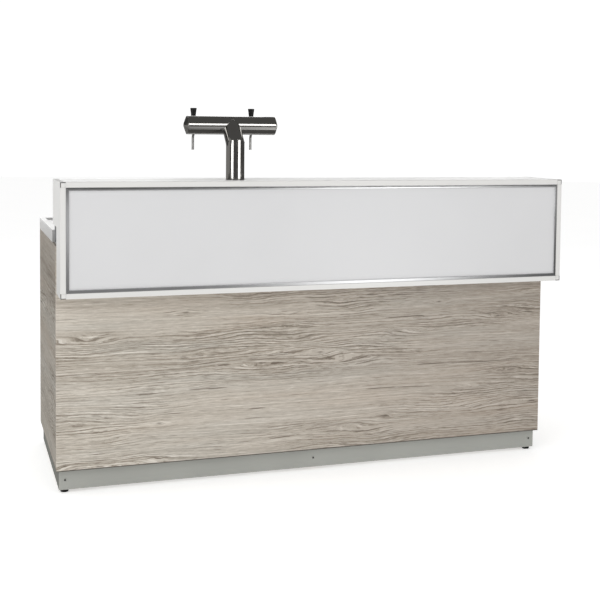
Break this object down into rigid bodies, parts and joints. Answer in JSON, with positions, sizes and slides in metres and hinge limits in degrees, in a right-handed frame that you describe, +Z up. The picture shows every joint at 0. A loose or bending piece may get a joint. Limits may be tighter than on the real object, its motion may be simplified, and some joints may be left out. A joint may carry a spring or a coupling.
{
  "type": "bar counter with shelves",
  "caption": "Bar counter with a raised white fascia box, wood-decor front, steel worktop, open rear shelves, plinth on levelling feet and a tap column with pull handles.",
  "frame": {"origin": "centre of the footprint on the floor", "axes": "+X along the counter to the right seen from the guest side, +Y towards the bartender side, +Z up; the guest front faces -Y"},
  "size_m": [2, 0.875, 1.43],
  "materials": {
    "wood_decor": "weathered oak decor laminate, fine horizontal grain",
    "carcass_board": "light melamine faced board",
    "bearer_wood": "raw board",
    "plinth_grey": "satin grey sheet",
    "fastener": "dark zinc",
    "black_plastic": "moulded black plastic",
    "bright_chrome": "polished",
    "white_profile": "white powder coat",
    "light_panel": "plain light panel, satin",
    "white_board": "white laminate",
    "grey_steel": "grey coated tube",
    "stainless": "polished stainless steel"
  },
  "bodies": {
    "counter": {"bar_bottom": "white_board", "bar_cheek_left": "white_board", "bar_cheek_right": "white_board", "bar_rear_cover": "white_board", "bar_support_rail": "grey_steel", "bar_top": "white_board", "base_bearer_left": "bearer_wood", "base_bearer_middle": "bearer_wood", "base_bearer_right": "bearer_wood", "bottom_panel": "carcass_board", "centre_partition": "carcass_board", "column_lock_nut": "fastener", "fascia_panel": "light_panel", "frame_corner_bottom_left": "white_profile", "frame_corner_bottom_right": "white_profile", "frame_corner_top_left": "white_profile", "frame_corner_top_right": "white_profile", "frame_rail_bottom": "white_profile", "frame_rail_left": "white_profile", "frame_rail_right": "white_profile", "frame_rail_top": "white_profile", "front_panel": "wood_decor", "plinth_front": "plinth_grey", "plinth_left": "plinth_grey", "plinth_rear": "plinth_grey", "plinth_right": "plinth_grey", "plinth_screw_left": "fastener", "plinth_screw_middle": "fastener", "plinth_screw_right": "fastener", "shelf_left_lower": "carcass_board", "shelf_left_upper": "carcass_board", "shelf_right_lower": "carcass_board", "shelf_right_upper": "carcass_board", "side_panel_left": "wood_decor", "side_panel_right": "wood_decor", "tap_body_left": "stainless", "tap_body_right": "stainless", "tap_column": "stainless", "tap_spout_left": "stainless", "tap_spout_right": "stainless", "top_rail_front": "carcass_board", "top_rail_rear": "carcass_board", "trim_bottom": "bright_chrome", "trim_left": "bright_chrome", "trim_right": "bright_chrome", "trim_top": "bright_chrome", "worktop_core": "bearer_wood", "worktop_sheet": "stainless"},
    "drip_tray": {"drip_tray": "stainless"},
    "drip_grid": {"drip_grid": "stainless"},
    "tap_handle_left": {"tap_lever_left": "bright_chrome", "tap_knob_left": "black_plastic"},
    "tap_handle_right": {"tap_lever_right": "bright_chrome", "tap_knob_right": "black_plastic"},
    "levelling_foot_front_left": {"levelling_foot_front_left": "black_plastic"},
    "levelling_foot_front_middle": {"levelling_foot_front_middle": "black_plastic"},
    "levelling_foot_front_right": {"levelling_foot_front_right": "black_plastic"},
    "levelling_foot_rear_left": {"levelling_foot_rear_left": "black_plastic"},
    "levelling_foot_rear_middle": {"levelling_foot_rear_middle": "black_plastic"},
    "levelling_foot_rear_right": {"levelling_foot_rear_right": "black_plastic"}
  },
  "joints": [
    {"name": "tap_handle_left_pull", "type": "hinge", "parent": "counter", "child": "tap_handle_left", "pos_m": [-0.454, -0.1075, 1.377], "axis": [-1, 0, 0], "range_deg": [0, 45]},
    {"name": "tap_handle_right_pull", "type": "hinge", "parent": "counter", "child": "tap_handle_right", "pos_m": [-0.22, -0.1075, 1.377], "axis": [-1, 0, 0], "range_deg": [0, 45]},
    {"name": "drip_tray_lift", "type": "slide", "parent": "counter", "child": "drip_tray", "axis": [0, 0, 1], "range_m": [0, 0.06]},
    {"name": "drip_grid_lift", "type": "slide", "parent": "drip_tray", "child": "drip_grid", "axis": [0, 0, 1], "range_m": [0, 0.03]},
    {"name": "levelling_foot_front_left_turn", "type": "hinge", "parent": "counter", "child": "levelling_foot_front_left", "pos_m": [-0.967, -0.2475, 0], "axis": [0, 0, 1], "continuous": true},
    {"name": "levelling_foot_front_middle_turn", "type": "hinge", "parent": "counter", "child": "levelling_foot_front_middle", "pos_m": [0, -0.1695, 0], "axis": [0, 0, 1], "continuous": true},
    {"name": "levelling_foot_front_right_turn", "type": "hinge", "parent": "counter", "child": "levelling_foot_front_right", "pos_m": [0.967, -0.2475, 0], "axis": [0, 0, 1], "continuous": true},
    {"name": "levelling_foot_rear_left_turn", "type": "hinge", "parent": "counter", "child": "levelling_foot_rear_left", "pos_m": [-0.967, 0.3825, 0], "axis": [0, 0, 1], "continuous": true},
    {"name": "levelling_foot_rear_middle_turn", "type": "hinge", "parent": "counter", "child": "levelling_foot_rear_middle", "pos_m": [0, 0.3825, 0], "axis": [0, 0, 1], "continuous": true},
    {"name": "levelling_foot_rear_right_turn", "type": "hinge", "parent": "counter", "child": "levelling_foot_rear_right", "pos_m": [0.967, 0.3825, 0], "axis": [0, 0, 1], "continuous": true}
  ]
}
